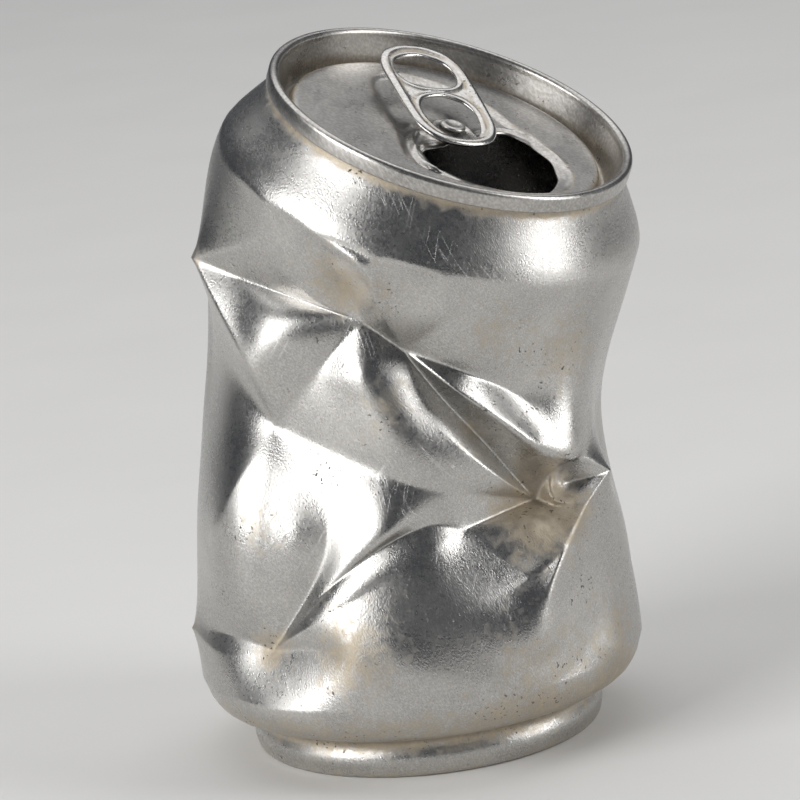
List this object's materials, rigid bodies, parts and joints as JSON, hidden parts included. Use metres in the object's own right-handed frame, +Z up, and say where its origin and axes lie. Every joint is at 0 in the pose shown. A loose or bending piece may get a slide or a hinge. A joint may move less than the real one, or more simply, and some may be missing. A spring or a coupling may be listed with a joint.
{
  "type": "crushed drink can",
  "caption": "Crushed and leaning aluminium drink can, opened, with its stay-on tab swivelled on its rivet and the torn panel folded inside.",
  "frame": {"origin": "on the floor under the middle of the can's bounding box", "axes": "+Z up along the can as it stands, -Y the side with the main folds, +X the side that the end leans towards"},
  "size_m": [0.0716, 0.0672, 0.1027],
  "materials": {
    "body_metal": "bare drawn sheet, lightly brushed round the can, with fine specks, scratches and tan dirt in the folds",
    "end_metal": "bare stamped sheet with a soft sheen and tan dirt in the groove",
    "tab_metal": "bare rolled sheet, brighter on its rolled edges",
    "compound": "matt sealing compound"
  },
  "bodies": {
    "can": {"can_body": "body_metal", "can_end": "end_metal", "seam_gasket": "compound"},
    "tab": {"pull_tab": "tab_metal"}
  },
  "joints": [
    {"name": "tab_swivel", "type": "hinge", "parent": "can", "child": "tab", "pos_m": [0.01004, -0.00076, 0.08873], "axis": [0.347, -0.231, 0.909], "continuous": true}
  ]
}
